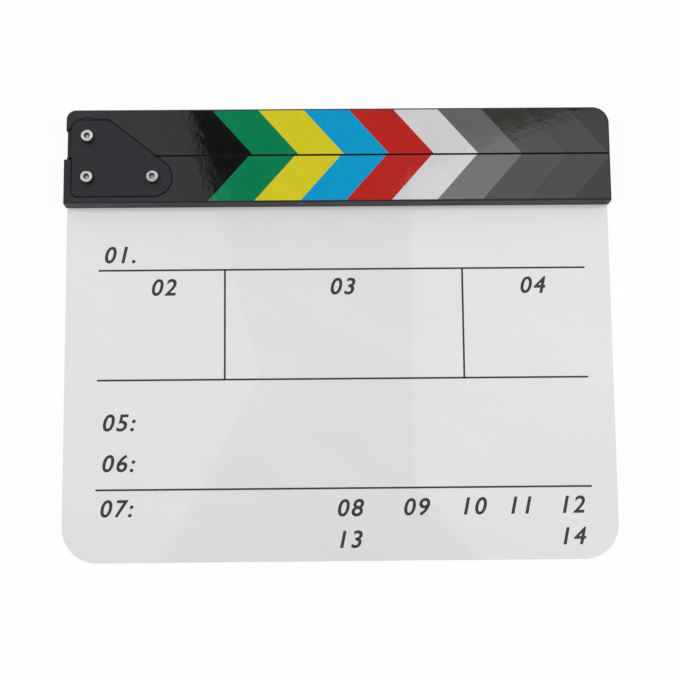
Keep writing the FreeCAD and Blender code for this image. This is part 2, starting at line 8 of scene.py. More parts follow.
import logging
import math
from abc import ABC, abstractmethod
from dataclasses import dataclass
from enum import Enum
from typing import Any, Mapping, NamedTuple, Sequence

import bmesh
import bpy
from mathutils import Matrix, Vector

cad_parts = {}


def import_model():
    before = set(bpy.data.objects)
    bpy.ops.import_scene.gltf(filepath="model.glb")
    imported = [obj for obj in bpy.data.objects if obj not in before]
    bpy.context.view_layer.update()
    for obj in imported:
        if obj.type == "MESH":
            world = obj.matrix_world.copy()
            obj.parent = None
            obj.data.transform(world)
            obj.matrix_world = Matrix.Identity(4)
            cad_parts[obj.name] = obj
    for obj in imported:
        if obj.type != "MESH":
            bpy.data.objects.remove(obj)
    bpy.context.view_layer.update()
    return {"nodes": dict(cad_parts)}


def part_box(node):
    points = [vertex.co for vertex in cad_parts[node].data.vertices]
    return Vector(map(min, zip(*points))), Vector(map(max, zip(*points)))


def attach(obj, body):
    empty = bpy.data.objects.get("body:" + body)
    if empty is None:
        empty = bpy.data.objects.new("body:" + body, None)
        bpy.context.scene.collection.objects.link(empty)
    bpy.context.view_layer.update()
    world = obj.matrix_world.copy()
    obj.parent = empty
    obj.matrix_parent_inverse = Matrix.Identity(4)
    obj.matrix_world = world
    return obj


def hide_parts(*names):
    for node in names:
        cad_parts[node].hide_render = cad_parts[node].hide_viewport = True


Colour = tuple[float, float, float]
Span = tuple[float, float]
Point = tuple[float, float]
Triple = tuple[float, float, float]

LOG = logging.getLogger("clapperboard")
MM = 0.001
IMAGE_SIDE = 680
SEAM = 97.15 * MM
THIN_INK_GAIN = 1.05
THIN_INK_LIFT = 0.001
RISE: Span = (0.0, 1.0)
FALL: Span = (1.0, 0.0)
ORIGIN: Triple = (0.0, 0.0, 0.0)
PURE_WHITE: Colour = (1.0, 1.0, 1.0)


class Body(Enum):
    """Bodies of the CAD part that a piece can ride on."""

    SLATE = "slate"
    CLAP_STICK = "clap_stick"


class Slot(Enum):
    """Material slots of the record, which nothing in this script reads."""

    BOARD = "board_acrylic"
    FILM = "printed_film"


class Facing(Enum):
    """Side of the part that a driving recess opens to, as the sign of its way along Z."""

    FRONT = 1.0
    BACK = -1.0


class Effect(Enum):
    """Surface effects that more than one finish uses."""

    RIPPLE = "film_ripple"
    GRAIN = "moulded_grain"
    SMEAR = "wipe_smear"
    HAIRLINE = "hairline_scratch"
    DUST = "dust_speck"
    TURNED = "turned_ring"
    RECESS = "recess_grime"
    KNURL = "knurled_side"


class Bar(Enum):
    """Printed bars of the films from left to right, with their ink in linear colour."""

    BLACK = (0.0058, 0.0058, 0.0064)
    GREEN = (0.003, 0.205, 0.077)
    YELLOW = (0.64, 0.565, 0.020)
    BLUE = (0.004, 0.316, 0.588)
    RED = (0.478, 0.020, 0.015)
    WHITE = (0.626, 0.630, 0.626)
    GREY_LIGHT = (0.128, 0.129, 0.122)
    GREY_MID = (0.041, 0.042, 0.037)
    GREY_DARK = (0.029, 0.029, 0.028)
    GREY_DEEP = (0.0098, 0.0098, 0.0108)


class Sheet:
    """Places and joins the nodes of one shader tree.

    The numbers are the sockets of Blender's Mix node that it uses for colours.
    """

    MIX_SHARE = 0
    MIX_FIRST = 6
    MIX_SECOND = 7
    MIX_RESULT = 2

    def __init__(self, tree: bpy.types.NodeTree) -> None:
        """Keeps the tree and empties it."""
        self.tree = tree
        tree.nodes.clear()

    def add(
        self, kind: str, inputs: Mapping[str | int, Any] | None = None, **settings: Any
    ) -> bpy.types.Node:
        """Places one node.

        Args:
            kind: Blender's name of the node.
            inputs: What each input takes, an output of another node or a plain value.
            settings: Properties of the node.

        Returns:
            The node.
        """
        node = self.tree.nodes.new(kind)
        for name, setting in settings.items():
            setattr(node, name, setting)
        for key, given in (inputs or {}).items():
            self.feed(node.inputs[key], given)
        return node

    def feed(self, socket: bpy.types.NodeSocket, given: Any) -> None:
        """Links an output to a socket, or sets a plain value on it.

        Args:
            socket: The input socket.
            given: An output of another node or a plain value.
        """
        if isinstance(given, bpy.types.NodeSocket):
            self.tree.links.new(given, socket)
        else:
            socket.default_value = given

    def place(self) -> bpy.types.NodeSocket:
        """Point of the surface in the frame of the piece."""
        return self.add("ShaderNodeTexCoord").outputs["Object"]

    def sum(self, operation: str, first: Any, second: Any = 0.0) -> bpy.types.NodeSocket:
        """One step of arithmetic.

        Args:
            operation: Blender's name of the step.
            first: First number or output.
            second: Second number or output.

        Returns:
            The result.
        """
        return self.add("ShaderNodeMath", {0: first, 1: second}, operation=operation).outputs[0]

    def ramp(
        self, given: Any, source: Span, target: Span = RISE, smooth: bool = True
    ) -> bpy.types.NodeSocket:
        """Carries a value from one span to another, held at both ends.

        Args:
            given: The value.
            source: Span that the value runs over.
            target: Span of the result.
            smooth: Whether the ends are eased.

        Returns:
            The result.
        """
        node = self.add(
            "ShaderNodeMapRange",
            {"Value": given, "From Min": source[0], "From Max": source[1]},
            interpolation_type="SMOOTHSTEP" if smooth else "LINEAR",
        )
        self.feed(node.inputs["To Min"], target[0])
        self.feed(node.inputs["To Max"], target[1])
        return node.outputs["Result"]

    def mix(self, share: Any, first: Any, second: Any) -> bpy.types.NodeSocket:
        """Blends two colours.

        Args:
            share: Share of the second colour.
            first: A colour or an output.
            second: A colour or an output.

        Returns:
            The blended colour.
        """
        node = self.add("ShaderNodeMix", data_type="RGBA")
        self.feed(node.inputs[self.MIX_SHARE], share)
        self.feed(node.inputs[self.MIX_FIRST], opaque(first))
        self.feed(node.inputs[self.MIX_SECOND], opaque(second))
        return node.outputs[self.MIX_RESULT]

    def stretched(self, given: Any, turn: float, scale: Triple) -> bpy.types.NodeSocket:
        """Turns a point about Z and then scales it.

        Args:
            given: The point.
            turn: Angle in degrees.
            scale: Scale along each axis.

        Returns:
            The new point.
        """
        angles = (0.0, 0.0, math.radians(turn))
        turned = self.add("ShaderNodeMapping", {"Vector": given, "Rotation": angles})
        return self.add("ShaderNodeMapping", {"Vector": turned.outputs[0], "Scale": scale}).outputs[0]

    def noise(self, given: Any, scale: Any, detail: float, rough: float = 0.5) -> bpy.types.NodeSocket:
        """Cloudy value from 0 to 1.

        Args:
            given: Point of the surface.
            scale: Clouds to the metre.
            detail: Finer layers.
            rough: Weight of the finer layers.

        Returns:
            The value.
        """
        node = self.add(
            "ShaderNodeTexNoise",
            {"Vector": given, "Scale": scale, "Detail": detail, "Roughness": rough},
        )
        return node.outputs["Fac"]


def opaque(given: Any) -> Any:
    """Gives a plain colour its alpha, and leaves an output as it is."""
    return (*given, 1.0) if isinstance(given, tuple) else given


class HairSet(NamedTuple):
    """One direction of hairline scratches: its turn in degrees, how drawn out they are and how sparse."""

    turn: float
    draw: float
    span: Span


class EffectShelf:
    """Keeps one shader node group for each effect, built when it is first asked for.

    A span is the part of a noise, a distance or a wave over which a mask grows.
    """

    PATCH_SPAN: Span = (0.32, 0.68)
    STREAK_DRAW: Triple = (1.0, 4.0, 1.0)
    STREAK_SPAN: Span = (0.36, 0.70)
    HAIR_SETS = (HairSet(28.0, 0.012, (0.74, 0.80)), HairSet(-61.0, 0.016, (0.75, 0.81)))
    SPECK_SPAN: Span = (0.10, 0.22)
    TARNISH_SCALE = 900.0
    TARNISH_SPAN: Span = (0.35, 0.65)
    SUNK_SPAN: Span = (0.1, 1.0)
    BARE_SPAN: Span = (0.3, 1.0)
    BARE_SHADE_AND_GRIME: Span = (0.2, 1.0)
    RIDGE_SPAN: Span = (-0.8, 0.8)

    def __init__(self) -> None:
        """Starts with an empty shelf."""
        self.groups: dict[Effect, bpy.types.ShaderNodeTree] = {}

    def place(self, sheet: Sheet, effect: Effect, **inputs: Any) -> bpy.types.Node:
        """Places an effect in a material with its own values.

        Args:
            sheet: The material's sheet.
            effect: The effect.
            inputs: Values of the group's inputs, by name.

        Returns:
            The group node.
        """
        if effect not in self.groups:
            self.groups[effect] = self.build(effect)
        node = sheet.add("ShaderNodeGroup", node_tree=self.groups[effect])
        for name, given in inputs.items():
            sheet.feed(node.inputs[name], given)
        return node

    def build(self, effect: Effect) -> bpy.types.ShaderNodeTree:
        """Builds the group of one effect.

        Args:
            effect: The effect.

        Returns:
            The group.
        """
        tree = bpy.data.node_groups.new(effect.value, "ShaderNodeTree")
        sheet = Sheet(tree)
        makers = {
            Effect.RIPPLE: self.ripple,
            Effect.GRAIN: self.grain,
            Effect.SMEAR: self.smear,
            Effect.HAIRLINE: self.hairline,
            Effect.DUST: self.dust,
            Effect.TURNED: self.turned,
            Effect.RECESS: self.recess,
            Effect.KNURL: self.knurl,
        }
        makers[effect](sheet)
        LOG.info("effect %s", effect.value)
        return tree

    @staticmethod
    def inlet(sheet: Sheet, **defaults: float | Triple) -> bpy.types.Node:
        """Gives a group its inputs.

        Args:
            sheet: The group's sheet.
            defaults: Default of each input, by name. Three numbers make a vector.

        Returns:
            The node that the inputs come in by.
        """
        for name, default in defaults.items():
            kind = "NodeSocketVector" if isinstance(default, tuple) else "NodeSocketFloat"
            socket = sheet.tree.interface.new_socket(name, in_out="INPUT", socket_type=kind)
            socket.default_value = default
        return sheet.add("NodeGroupInput")

    @staticmethod
    def outlet(sheet: Sheet, **outputs: bpy.types.NodeSocket) -> None:
        """Gives a group its outputs.

        Args:
            sheet: The group's sheet.
            outputs: What each output carries, by name.
        """
        for name in outputs:
            sheet.tree.interface.new_socket(name, in_out="OUTPUT", socket_type="NodeSocketFloat")
        sheet.add("NodeGroupOutput", outputs)

    def ripple(self, sheet: Sheet) -> None:
        """Slow waviness of a film or sheet, as a height.

        Args:
            sheet: The group's sheet.
        """
        inlet = self.inlet(sheet, Scale=250.0)
        wave = sheet.noise(sheet.place(), inlet.outputs["Scale"], detail=1.5, rough=0.45)
        self.outlet(sheet, Height=wave)

    def grain(self, sheet: Sheet) -> None:
        """Fine texture of a moulding: its height, and broad patches that are duller.

        Args:
            sheet: The group's sheet.
        """
        inlet = self.inlet(sheet, Scale=2200.0, Patch=60.0)
        place = sheet.place()
        fine = sheet.noise(place, inlet.outputs["Scale"], detail=2.0, rough=0.6)
        patch = sheet.noise(place, inlet.outputs["Patch"], detail=4.0, rough=0.6)
        self.outlet(sheet, Height=fine, Mask=sheet.ramp(patch, self.PATCH_SPAN))

    def smear(self, sheet: Sheet) -> None:
        """Long soft streaks that a wiping cloth leaves.

        Args:
            sheet: The group's sheet.
        """
        inlet = self.inlet(sheet, Scale=12.0, Turn=0.35)
        spin = {"Vector": sheet.place(), "Angle": inlet.outputs["Turn"]}
        turned = sheet.add("ShaderNodeVectorRotate", spin).outputs[0]
        drawn = sheet.add("ShaderNodeMapping", {"Vector": turned, "Scale": self.STREAK_DRAW}).outputs[0]
        cloud = sheet.noise(drawn, inlet.outputs["Scale"], detail=5.0, rough=0.62)
        self.outlet(sheet, Mask=sheet.ramp(cloud, self.STREAK_SPAN))

    def hairline(self, sheet: Sheet) -> None:
        """Sparse hair-fine scratches in two directions.

        Args:
            sheet: The group's sheet.
        """
        inlet = self.inlet(sheet, Scale=900.0)
        place = sheet.place()
        marks: list[bpy.types.NodeSocket] = []
        for hairs in self.HAIR_SETS:
            drawn = sheet.stretched(place, hairs.turn, (hairs.draw, 1.0, 1.0))
            marks.append(sheet.ramp(sheet.noise(drawn, inlet.outputs["Scale"], detail=1.0), hairs.span))
        self.outlet(sheet, Mask=sheet.sum("MAXIMUM", *marks))

    def dust(self, sheet: Sheet) -> None:
        """Sparse small specks.

        Args:
            sheet: The group's sheet.
        """
        inlet = self.inlet(sheet, Scale=420.0, Share=0.08)
        spread = {"Vector": sheet.place(), "Scale": inlet.outputs["Scale"]}
        cells = sheet.add("ShaderNodeTexVoronoi", spread)
        near = sheet.ramp(cells.outputs["Distance"], self.SPECK_SPAN, FALL)
        drawn = sheet.add("ShaderNodeSeparateColor", {"Color": cells.outputs["Color"]})
        kept = sheet.sum("LESS_THAN", drawn.outputs[0], inlet.outputs["Share"])
        self.outlet(sheet, Mask=sheet.sum("MULTIPLY", near, kept))

    @staticmethod
    def about_axis(
        sheet: Sheet, centre: bpy.types.NodeSocket
    ) -> tuple[bpy.types.bpy_prop_collection, bpy.types.NodeSocket]:
        """Measures the surface from an axis along Z.

        Args:
            sheet: The group's sheet.
            centre: A point on the axis.

        Returns:
            The way from that point as X, Y and Z, and the distance from the axis.
        """
        out = sheet.add("ShaderNodeVectorMath", {0: sheet.place(), 1: centre}, operation="SUBTRACT")
        way = sheet.add("ShaderNodeSeparateXYZ", {0: out.outputs[0]}).outputs
        flat = sheet.add("ShaderNodeCombineXYZ", {"X": way["X"], "Y": way["Y"]})
        length = sheet.add("ShaderNodeVectorMath", {0: flat.outputs[0]}, operation="LENGTH")
        return way, length.outputs["Value"]

    def turned(self, sheet: Sheet) -> None:
        """Fine rings that a lathe leaves about an axis along Z: their height, and patches of tarnish.

        Args:
            sheet: The group's sheet.
        """
        inlet = self.inlet(sheet, Centre=ORIGIN, Rings=6000.0)
        radius = self.about_axis(sheet, inlet.outputs["Centre"])[1]
        pace = sheet.sum("MULTIPLY", inlet.outputs["Rings"], math.tau)
        wave = sheet.sum("SINE", sheet.sum("MULTIPLY", radius, pace))
        tarnish = sheet.noise(sheet.place(), self.TARNISH_SCALE, detail=3.0)
        self.outlet(sheet, Height=wave, Mask=sheet.ramp(tarnish, self.TARNISH_SPAN))

    def recess(self, sheet: Sheet) -> None:
        """Grime and painted shade in a hole about an axis along Z and thinner on its lip, with less of it in
        the middle, where the floor of the hole is painted lighter.

        Args:
            sheet: The group's sheet.
        """
        inlet = self.inlet(
            sheet, Centre=ORIGIN, Radius=0.0019, Fade=0.00012, Bare=0.001, Lip=0.2, Side=Facing.FRONT.value
        )
        way, radius = self.about_axis(sheet, inlet.outputs["Centre"])
        within = sheet.sum("LESS_THAN", radius, inlet.outputs["Radius"])
        below = sheet.sum("MULTIPLY", way["Z"], sheet.sum("MULTIPLY", inlet.outputs["Side"], -1.0))
        sunk = sheet.sum("DIVIDE", below, inlet.outputs["Fade"])
        # Less grime and painted shade towards the middle, so that the floor of the hole is painted lighter.
        bare = sheet.sum("DIVIDE", radius, inlet.outputs["Bare"])
        left = sheet.ramp(bare, self.BARE_SPAN, self.BARE_SHADE_AND_GRIME)
        thick = sheet.sum("MAXIMUM", sheet.ramp(sunk, self.SUNK_SPAN), inlet.outputs["Lip"])
        lies = sheet.sum("MULTIPLY", thick, left)
        self.outlet(sheet, Mask=sheet.sum("MULTIPLY", within, lies))

    def knurl(self, sheet: Sheet) -> None:
        """Straight knurl round the side of a screw head: where it lies, and the height of its ridges.

        Args:
            sheet: The group's sheet.
        """
        inlet = self.inlet(sheet, Centre=ORIGIN, Radius=0.003, Drop=0.0005, Ridges=40.0)
        way, radius = self.about_axis(sheet, inlet.outputs["Centre"])
        outside = sheet.sum("GREATER_THAN", radius, inlet.outputs["Radius"])
        below = sheet.sum("LESS_THAN", way["Z"], sheet.sum("MULTIPLY", inlet.outputs["Drop"], -1.0))
        turn = sheet.sum("ARCTAN2", way["Y"], way["X"])
        wave = sheet.sum("SINE", sheet.sum("MULTIPLY", turn, inlet.outputs["Ridges"]))
        ridge = sheet.ramp(wave, self.RIDGE_SPAN)
        side = sheet.sum("MULTIPLY", outside, below)
        self.outlet(sheet, Mask=side, Height=sheet.sum("MULTIPLY", side, ridge))


@dataclass(frozen=True)
class Finish(ABC):
    """One finish of the part. Its material is made once and kept under its name."""

    name: str

    def material(self, shelf: EffectShelf) -> bpy.types.Material:
        """Makes the material, or finds it again.

        Args:
            shelf: The shared effects.

        Returns:
            The material.
        """
        found = bpy.data.materials.get(self.name)
        if found is not None:
            return found
        made = bpy.data.materials.new(self.name)
        made.use_nodes = True
        sheet = Sheet(made.node_tree)
        shader = sheet.add("ShaderNodeBsdfPrincipled")
        sheet.add("ShaderNodeOutputMaterial", {"Surface": shader.outputs["BSDF"]})
        self.wire(sheet, shader, shelf)
        return made

    @abstractmethod
    def wire(self, sheet: Sheet, shader: bpy.types.Node, shelf: EffectShelf) -> None:
        """Wires the finish to its shader.

        Args:
            sheet: The material's sheet.
            shader: Its Principled BSDF.
            shelf: The shared effects.
        """

    @staticmethod
    def coat(sheet: Sheet, shader: bpy.types.Node, colour: Any, rough: Any) -> None:
        """Feeds the shader its colour and its roughness."""
        sheet.feed(shader.inputs["Base Color"], colour)
        sheet.feed(shader.inputs["Roughness"], rough)

    @staticmethod
    def bump(sheet: Sheet, shader: bpy.types.Node, height: bpy.types.NodeSocket, depth: float) -> None:
        """Lets a height raise the surface.

        Args:
            sheet: The material's sheet.
            shader: Its Principled BSDF.
            height: Height from 0 to 1.
            depth: What a height of 1 stands for, in metres.
        """
        node = sheet.add("ShaderNodeBump", {"Height": height, "Distance": depth})
        sheet.feed(shader.inputs["Normal"], node.outputs["Normal"])


@dataclass(frozen=True)
class GlossSheet(Finish):
    """Glossy sheet or laminated film that has been handled and wiped, with the slow waves of its surface."""

    colour: Colour
    wiped: Colour
    rough: Span
    streaks: float
    streak_turn: float
    hairs: float
    scratched: float
    waves: float
    wave_depth: float
    ior: float

    def wire(self, sheet: Sheet, shader: bpy.types.Node, shelf: EffectShelf) -> None:
        """Wires wiped streaks, hairlines and waves to the shader.

        Args:
            sheet: The material's sheet.
            shader: Its Principled BSDF.
            shelf: The shared effects.
        """
        smear = shelf.place(sheet, Effect.SMEAR, Scale=self.streaks, Turn=self.streak_turn).outputs["Mask"]
        hairs = shelf.place(sheet, Effect.HAIRLINE, Scale=self.hairs).outputs["Mask"]
        wave = shelf.place(sheet, Effect.RIPPLE, Scale=self.waves).outputs["Height"]
        dull = sheet.ramp(smear, RISE, self.rough, smooth=False)
        rough = sheet.sum("ADD", dull, sheet.sum("MULTIPLY", hairs, self.scratched))
        self.coat(sheet, shader, sheet.mix(smear, self.colour, self.wiped), rough)
        self.bump(sheet, shader, wave, self.wave_depth)
        shader.inputs["IOR"].default_value = self.ior


@dataclass(frozen=True)
class MouldedPlastic(Finish):
    """Moulded plastic with a fine grain, dull patches and dust.

    Where it has a seam that claps, the faces there are rubbed, and their front edges along it get painted
    shade.
    """

    colour: Colour
    worn: Colour
    rough: Span
    grain: float
    depth: float
    clap_seam: float | None = None
    clap_reach: float = 0.4 * MM
    clap_front: float = 12.8 * MM
    # Painted shade along the seam: a near-black colour on the front edges, how far it reaches, how strong it
    # is and how much it dulls them.
    grime: Colour = (0.001, 0.001, 0.001)
    seam_shade_reach: float = 0.8 * MM
    seam_shade_share: float = 0.55
    seam_shade_dulls: float = 0.6
    patches: float = 55.0
    specks: float = 330.0
    speck_share: float = 0.05
    speck_shows: float = 0.3
    rub_scale: float = 160.0
    rub_span: Span = (0.50, 0.66)
    ior: float = 1.5

    def wire(self, sheet: Sheet, shader: bpy.types.Node, shelf: EffectShelf) -> None:
        """Wires grain, dust, the rubbed patches at the seam and the painted shade along it to the shader.

        Args:
            sheet: The material's sheet.
            shader: Its Principled BSDF.
            shelf: The shared effects.
        """
        grain = shelf.place(sheet, Effect.GRAIN, Scale=self.grain, Patch=self.patches).outputs
        dust = shelf.place(sheet, Effect.DUST, Scale=self.specks, Share=self.speck_share).outputs["Mask"]
        colour = sheet.mix(sheet.sum("MULTIPLY", dust, self.speck_shows), self.colour, self.worn)
        dull = sheet.ramp(grain["Mask"], RISE, self.rough, smooth=False)
        if self.clap_seam is not None:
            rubbed, shade_and_grime_mask = self.seam_marks(sheet, self.clap_seam)
            # Painted shade: the front edges along the seam are darkened towards near black.
            colour = sheet.mix(shade_and_grime_mask, sheet.mix(rubbed, colour, self.worn), self.grime)
            dull = sheet.sum("ADD", dull, sheet.sum("MULTIPLY", shade_and_grime_mask, self.seam_shade_dulls))
        self.coat(sheet, shader, colour, dull)
        self.bump(sheet, shader, grain["Height"], self.depth)
        shader.inputs["IOR"].default_value = self.ior

    def seam_marks(self, sheet: Sheet, seam: float) -> tuple[bpy.types.NodeSocket, bpy.types.NodeSocket]:
        """Finds the rubbed patches on the faces that clap together, and the painted shade on their front
        edges.

        Args:
            sheet: The material's sheet.
            seam: Where the seam lies on Y.

        Returns:
            The mask of the patches and the mask of the painted shade.
        """
        place = sheet.place()
        parts = sheet.add("ShaderNodeSeparateXYZ", {0: place}).outputs
        away = sheet.sum("ABSOLUTE", sheet.sum("SUBTRACT", parts["Y"], seam))
        behind = sheet.sum("LESS_THAN", parts["Z"], self.clap_front)
        face = sheet.sum("MULTIPLY", sheet.sum("LESS_THAN", away, self.clap_reach), behind)
        patch = sheet.ramp(sheet.noise(place, self.rub_scale, detail=6.0, rough=0.7), self.rub_span)
        # Painted shade on the front edges within reach of the seam.
        edge = sheet.sum("MULTIPLY", sheet.sum("LESS_THAN", away, self.seam_shade_reach), self.seam_shade_share)
        front = sheet.sum("SUBTRACT", 1.0, behind)
        return sheet.sum("MULTIPLY", patch, face), sheet.sum("MULTIPLY", edge, front)


@dataclass(frozen=True)
class FineGrain(Finish):
    """Ink or nylon with a fine grain, a little uneven in density."""

    colour: Colour
    uneven: Colour
    rough: Span
    grain: float
    patches: float
    depth: float
    eased: bool = False

    def wire(self, sheet: Sheet, shader: bpy.types.Node, shelf: EffectShelf) -> None:
        """Wires the grain and the uneven patches to the shader.

        Args:
            sheet: The material's sheet.
            shader: Its Principled BSDF.
            shelf: The shared effects.
        """
        grain = shelf.place(sheet, Effect.GRAIN, Scale=self.grain, Patch=self.patches).outputs
        rough = sheet.ramp(grain["Mask"], RISE, self.rough, smooth=self.eased)
        self.coat(sheet, shader, sheet.mix(grain["Mask"], self.colour, self.uneven), rough)
        self.bump(sheet, shader, grain["Height"], self.depth)


@dataclass(frozen=True)
class TurnedMetal(Finish):
    """Turned or plated metal with fine rings about an axis along Z."""

    colour: Colour
    dim: Colour
    rough: Span
    centre: Point
    rings: float = 6000.0
    depth: float = 1.2e-6
    recess_height: float | None = None
    recess_radius: float = 1.9 * MM
    recess_facing: Facing = Facing.FRONT
    # Grime and painted shade inside the driving recess: its colour and roughness.
    grime: Colour = (0.20, 0.185, 0.17)
    shade_and_grime_rough: float = 0.5
    specks: float = 1500.0
    speck_share: float = 0.12
    knurl_radius: float | None = None
    knurl_depth: float = 4.0e-5
    # Painted shade on the knurled side of a head: dark, and darker in the valleys than on the ridges.
    knurl_valley_shade: Colour = (0.030, 0.030, 0.032)
    ridge: Colour = (0.150, 0.148, 0.145)

    def wire(self, sheet: Sheet, shader: bpy.types.Node, shelf: EffectShelf) -> None:
        """Wires rings, tarnish, dust, grime and painted shade in a recess, and a knurl with painted shade to
        the shader.

        Args:
            sheet: The material's sheet.
            shader: Its Principled BSDF.
            shelf: The shared effects.
        """
        rings = shelf.place(sheet, Effect.TURNED, Centre=(*self.centre, 0.0), Rings=self.rings).outputs
        dust = shelf.place(sheet, Effect.DUST, Scale=self.specks, Share=self.speck_share).outputs["Mask"]
        shade = sheet.sum("MAXIMUM", rings["Mask"], dust)
        colour = sheet.mix(shade, self.colour, self.dim)
        rough = sheet.ramp(shade, RISE, self.rough, smooth=False)
        height = sheet.sum("MULTIPLY", rings["Height"], self.depth)
        # Grime and painted shade darken the inside of the driving recess.
        if self.recess_height is not None:
            rim = (*self.centre, self.recess_height)
            side = self.recess_facing.value
            hole = shelf.place(sheet, Effect.RECESS, Centre=rim, Radius=self.recess_radius, Side=side)
            shade_and_grime_mask = hole.outputs["Mask"]
            colour = sheet.mix(shade_and_grime_mask, colour, self.grime)
            rough = sheet.sum("MAXIMUM", rough, sheet.sum("MULTIPLY", shade_and_grime_mask, self.shade_and_grime_rough))
            if self.knurl_radius is not None:
                knurl = shelf.place(sheet, Effect.KNURL, Centre=rim, Radius=self.knurl_radius).outputs
                # Painted shade: the knurled side of the head is darkened, its valleys more than its ridges.
                painted_knurl_shade = sheet.mix(knurl["Height"], self.knurl_valley_shade, self.ridge)
                colour = sheet.mix(knurl["Mask"], colour, painted_knurl_shade)
                height = sheet.sum("ADD", height, sheet.sum("MULTIPLY", knurl["Height"], self.knurl_depth))
        self.coat(sheet, shader, colour, rough)
        self.bump(sheet, shader, height, depth=1.0)
        shader.inputs["Metallic"].default_value = 1.0


BOARD_FINISH = GlossSheet(
    name="white_acrylic",
    colour=(0.795, 0.775, 0.776),
    wiped=(0.776, 0.757, 0.761),
    rough=(0.015, 0.045),
    streaks=9.0,
    streak_turn=0.4,
    hairs=700.0,
    scratched=0.08,
    waves=14.0,
    wave_depth=3.0e-5,
    ior=1.49,
)
STICK_FINISH = MouldedPlastic(
    name="black_moulding",
    colour=(0.011, 0.011, 0.012),
    worn=(0.060, 0.060, 0.062),
    rough=(0.54, 0.66),
    grain=2400.0,
    depth=1.6e-5,
    clap_seam=SEAM,
)
PLATE_FINISH = MouldedPlastic(
    name="satin_black_plate",
    colour=(0.0062, 0.0067, 0.0092),
    worn=(0.055, 0.055, 0.058),
    rough=(0.36, 0.45),
    grain=3200.0,
    depth=1.2e-5,
)
INK_FINISH = FineGrain(
    name="black_screen_ink",
    colour=(0.020, 0.020, 0.021),
    uneven=(0.030, 0.030, 0.031),
    rough=(0.30, 0.42),
    grain=5000.0,
    patches=240.0,
    depth=4.0e-6,
)
NYLON_FINISH = FineGrain(
    name="milky_nylon",
    colour=(0.72, 0.70, 0.64),
    uneven=(0.60, 0.58, 0.53),
    rough=(0.38, 0.52),
    grain=3000.0,
    patches=300.0,
    depth=5.0e-6,
    eased=True,
)


def film(bar: Bar) -> GlossSheet:
    """Glossy laminated film with one printed colour and the ripple of its adhesive.

    Args:
        bar: The bar that is printed on it.

    Returns:
        The finish.
    """
    thin = tuple(min(1.0, part * THIN_INK_GAIN + THIN_INK_LIFT) for part in bar.value)
    return GlossSheet(
        name=f"film_{bar.name.lower()}",
        colour=bar.value,
        wiped=thin,
        rough=(0.035, 0.07),
        streaks=30.0,
        streak_turn=1.2,
        hairs=1100.0,
        scratched=0.10,
        waves=320.0,
        wave_depth=1.2e-5,
        ior=1.54,
    )


def steel(
    name: str, centre: Point, rim: float, radius: float, facing: Facing, knurl: float | None = None
) -> TurnedMetal:
    """Bright plated steel turned about a centre, with grime and painted shade in its driving recess.

    Args:
        name: Name of the finish.
        centre: Axis of the screw as seen from the front.
        rim: Height of the face that the recess is cut into.
        radius: Reach of the recess from the axis.
        facing: Side that the recess opens to.
        knurl: How far from the axis the knurled side starts, if there is one; that side gets painted shade.

    Returns:
        The finish.
    """
    return TurnedMetal(
        name=name,
        colour=(0.92, 0.89, 0.81),
        dim=(0.80, 0.77, 0.70),
        rough=(0.16, 0.28),
        centre=centre,
        recess_height=rim,
        recess_radius=radius,
        recess_facing=facing,
        knurl_radius=knurl,
    )


def brass(name: str, centre: Point) -> TurnedMetal:
    """Turned brass about a centre."""
    return TurnedMetal(
        name=name,
        colour=(0.76, 0.56, 0.27),
        dim=(0.62, 0.44, 0.20),
        rough=(0.22, 0.36),
        centre=centre,
        rings=4000.0,
    )


def nickel(name: str, centre: Point) -> TurnedMetal:
    """Nickel plate about a centre."""
    return TurnedMetal(
        name=name,
        colour=(0.70, 0.67, 0.62),
        dim=(0.60, 0.57, 0.53),
        rough=(0.10, 0.20),
        centre=centre,
        rings=2500.0,
        depth=5.0e-7,
    )


def dress(node: bpy.types.Object, finish: Finish, shelf: EffectShelf) -> None:
    """Gives a CAD node its finish.

    Args:
        node: The node's object.
        finish: The finish.
        shelf: The shared effects.
    """
    material = finish.material(shelf)
    if not node.material_slots:
        node.data.materials.append(material)
    for slot in node.material_slots:
        slot.material = material
    LOG.info("dressed %s in %s", node.name, finish.name)


def centre_of(node: str) -> Point:
    """Middle of a CAD node as seen from the front."""
    low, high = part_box(node)
    return ((low.x + high.x) / 2, (low.y + high.y) / 2)


def link_piece(name: str, mesh: bpy.types.Mesh, body: Body) -> bpy.types.Object:
    """Puts a new piece in the scene and lets it ride on a body.

    Args:
        name: Name of the piece.
        mesh: Its mesh, in the frame of the part.
        body: Body that it moves with.

    Returns:
        The piece.
    """
    piece = bpy.data.objects.new(name, mesh)
    bpy.context.scene.collection.objects.link(piece)
    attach(piece, body.value)
    LOG.info("piece %s rides on %s", name, body.value)
    return piece


@dataclass
class Numeral:
    """One printed field number."""

    text: str
    place: Point
    centred: bool = False


